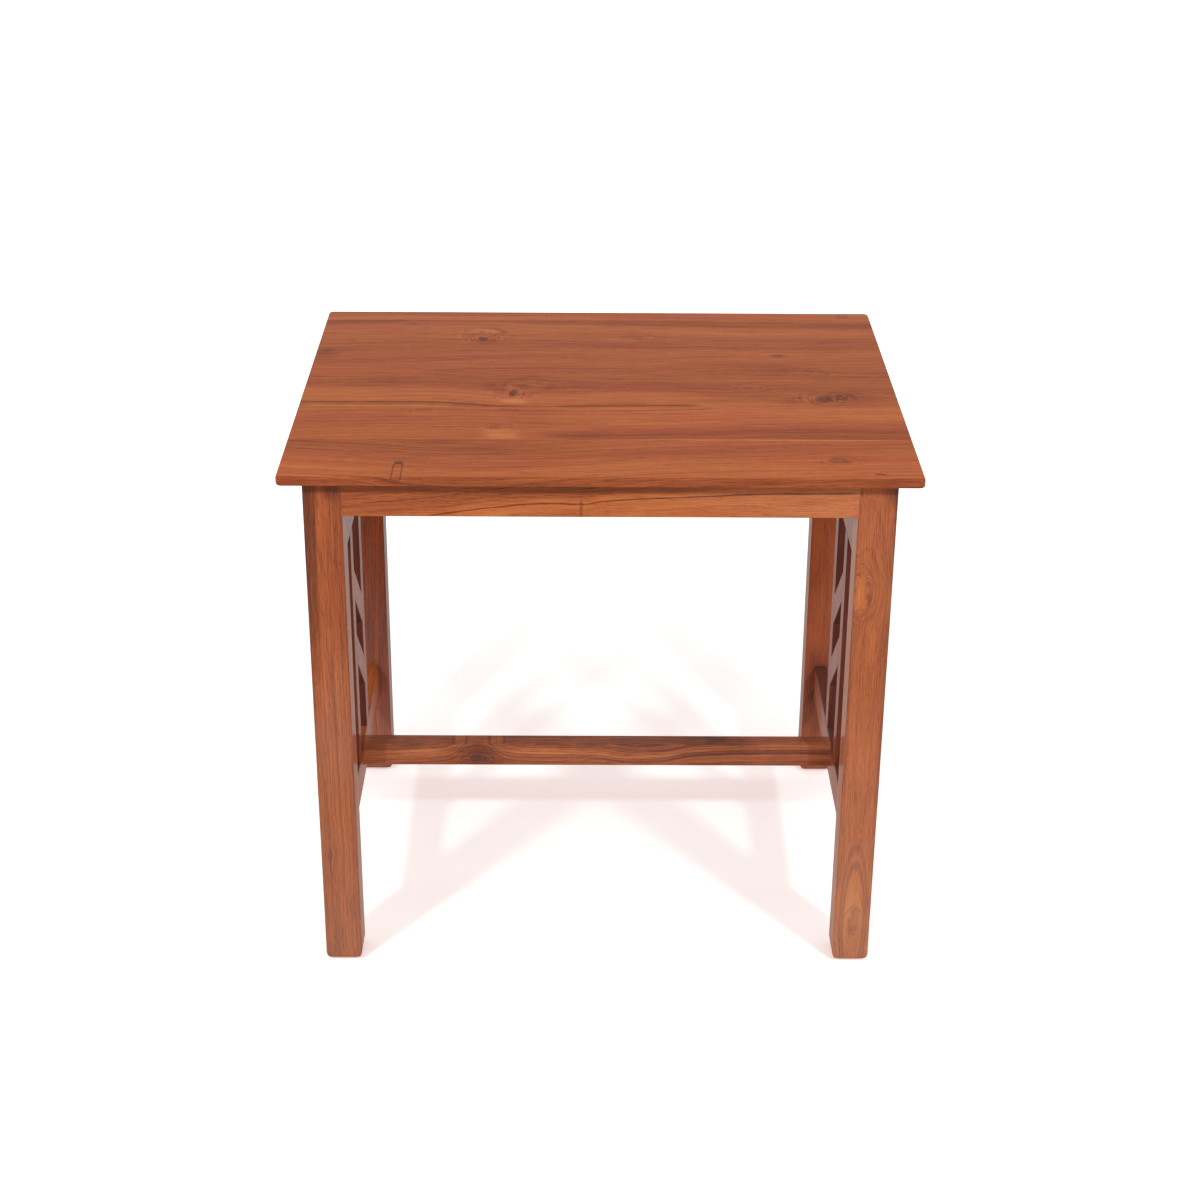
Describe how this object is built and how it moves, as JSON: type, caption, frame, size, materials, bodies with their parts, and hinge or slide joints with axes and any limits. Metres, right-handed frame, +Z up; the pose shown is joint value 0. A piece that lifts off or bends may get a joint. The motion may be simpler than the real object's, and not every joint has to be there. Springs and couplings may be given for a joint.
{
  "type": "dining table",
  "caption": "Small nearly square hardwood dining table: edge-glued plank top, square legs, slatted side frames with slanting rungs, and a low central stretcher.",
  "frame": {"origin": "on the floor, under the middle of the top", "axes": "+X to the right along the long side, +Y from the front to the back, +Z up"},
  "size_m": [0.833, 0.679, 0.762],
  "materials": {
    "top_wood": "satin clear lacquer on teak boards",
    "leg_wood": "satin clear lacquer on teak",
    "apron_wood": "satin clear lacquer on teak",
    "frame_wood": "satin clear lacquer on teak",
    "hidden_wood": "sawn hardwood with no finish",
    "screw_steel": "yellow zinc plated",
    "glide_plastic": "moulded nylon"
  },
  "bodies": {
    "root": {"apron_back": "apron_wood", "apron_front": "apron_wood", "apron_left": "frame_wood", "apron_right": "frame_wood", "apron_screws": "screw_steel", "bottom_rail_left": "frame_wood", "bottom_rail_right": "frame_wood", "cleat_back": "hidden_wood", "cleat_front": "hidden_wood", "cleat_left": "hidden_wood", "cleat_right": "hidden_wood", "foot_glide_back_left": "glide_plastic", "foot_glide_back_right": "glide_plastic", "foot_glide_front_left": "glide_plastic", "foot_glide_front_right": "glide_plastic", "leg_back_left": "leg_wood", "leg_back_right": "leg_wood", "leg_front_left": "leg_wood", "leg_front_right": "leg_wood", "mid_rail_left": "frame_wood", "mid_rail_right": "frame_wood", "rung_dowels_left": "hidden_wood", "rung_dowels_right": "hidden_wood", "rung_left_lower": "frame_wood", "rung_left_upper": "frame_wood", "rung_right_lower": "frame_wood", "rung_right_upper": "frame_wood", "slat_left_back": "frame_wood", "slat_left_front": "frame_wood", "slat_right_back": "frame_wood", "slat_right_front": "frame_wood", "stretcher": "frame_wood", "top_board_1": "top_wood", "top_board_2": "top_wood", "top_board_3": "top_wood", "top_board_4": "top_wood", "top_board_5": "top_wood", "top_board_6": "top_wood", "top_screws": "screw_steel"}
  },
  "joints": []
}
